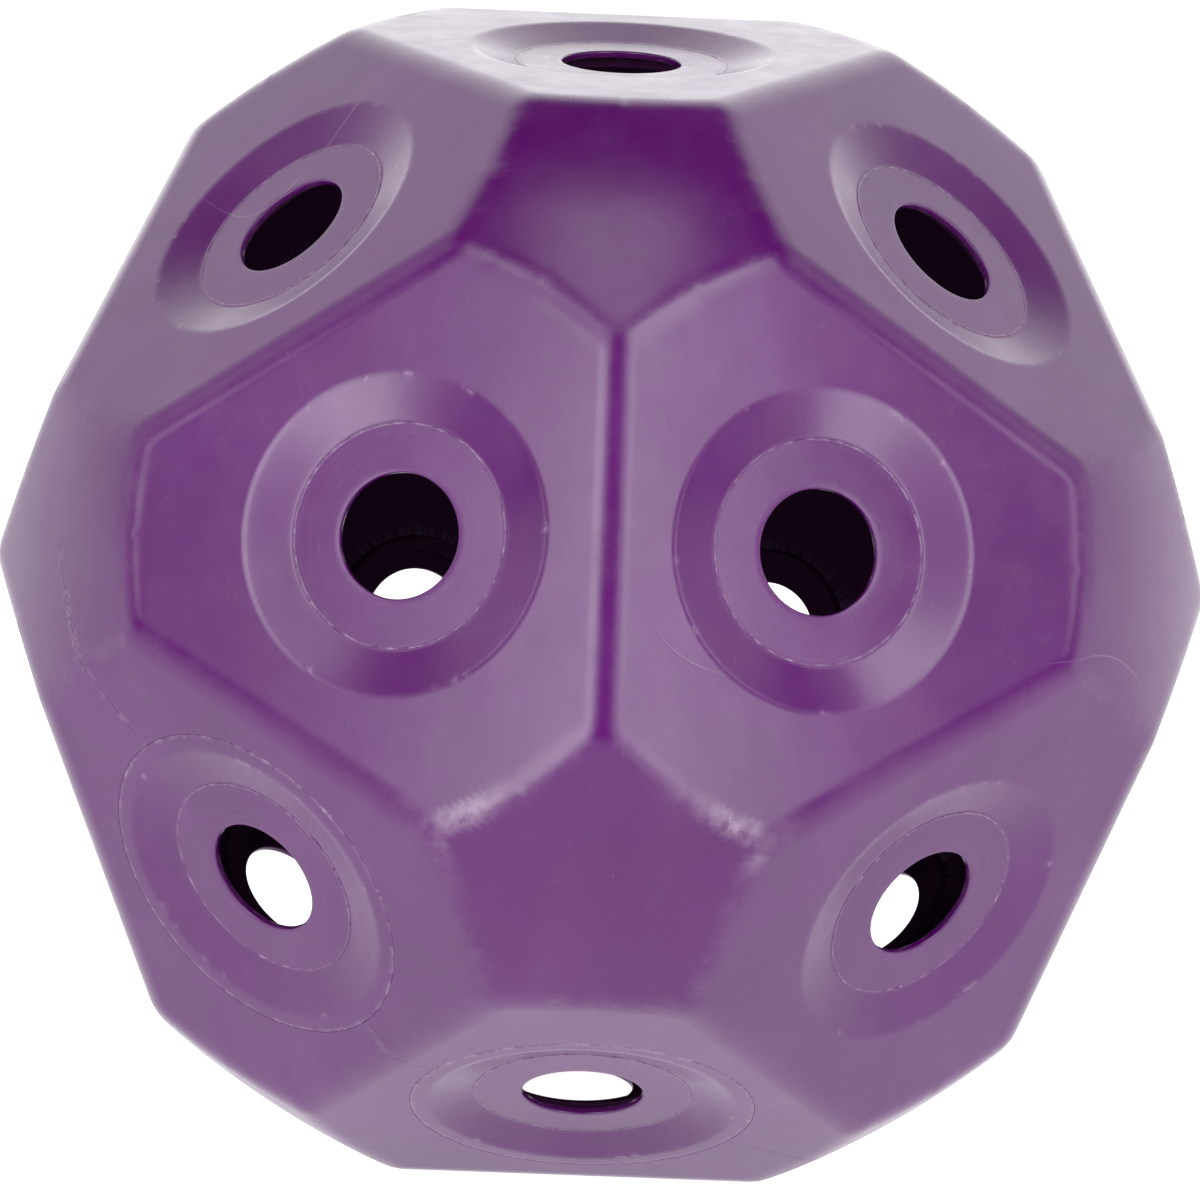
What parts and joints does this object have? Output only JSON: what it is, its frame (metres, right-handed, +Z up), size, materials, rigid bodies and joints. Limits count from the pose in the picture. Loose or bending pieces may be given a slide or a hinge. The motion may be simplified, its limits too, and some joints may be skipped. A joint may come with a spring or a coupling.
{
  "type": "feeding ball",
  "caption": "Hollow faceted plastic feeding ball for horses, with a round hole in every flat and a twist-off filler lid.",
  "frame": {"origin": "centre of the ball, which is the centre of its box", "axes": "+Z up along the axis of the top flat, with the ball standing on the opposite flat; -Y towards the viewer, +X to the viewer's right"},
  "size_m": [0.3876, 0.4026, 0.362],
  "materials": {
    "shell_plastic": "moulded purple polyethylene, semi-gloss, lightly scuffed",
    "ring_plastic": "moulded purple polyethylene, semi-gloss",
    "panel_plastic": "moulded purple polyethylene, semi-gloss",
    "lid_plastic": "moulded purple polyethylene, semi-gloss",
    "collar_plastic": "moulded purple polyethylene, inside face, matt"
  },
  "bodies": {
    "ball": {"front_shell": "shell_plastic", "rear_shell": "shell_plastic", "filler_collar": "collar_plastic", "bottom_panel": "panel_plastic", "rear_upper_panel": "panel_plastic", "rear_side_panel": "panel_plastic", "feed_ring_01": "ring_plastic", "feed_ring_02": "ring_plastic", "feed_ring_03": "ring_plastic", "feed_ring_04": "ring_plastic", "feed_ring_05": "ring_plastic", "feed_ring_06": "ring_plastic", "feed_ring_07": "ring_plastic", "feed_ring_08": "ring_plastic", "feed_ring_09": "ring_plastic", "feed_ring_10": "ring_plastic", "feed_ring_11": "ring_plastic", "feed_ring_12": "ring_plastic", "feed_ring_13": "ring_plastic", "feed_ring_14": "ring_plastic", "feed_ring_15": "ring_plastic", "feed_ring_16": "ring_plastic", "feed_ring_17": "ring_plastic", "feed_ring_18": "ring_plastic", "feed_ring_19": "ring_plastic"},
    "lid_carrier": {"lid_ring": "ring_plastic"},
    "lid": {"filler_lid": "lid_plastic"}
  },
  "joints": [
    {"name": "lid_lift", "type": "slide", "parent": "ball", "child": "lid_carrier", "axis": [-0.5774, -0.7454, -0.3333], "range_m": [0, 0.016]},
    {"name": "lid_turn", "type": "hinge", "parent": "lid_carrier", "child": "lid", "pos_m": [-0.1045, -0.13491, -0.06033], "axis": [-0.5774, -0.7454, -0.3333], "range_deg": [0, 120]}
  ],
  "couplings": [
    {"joint": "lid_lift", "follows": "lid_turn", "m_per_rad": 0.007635}
  ]
}
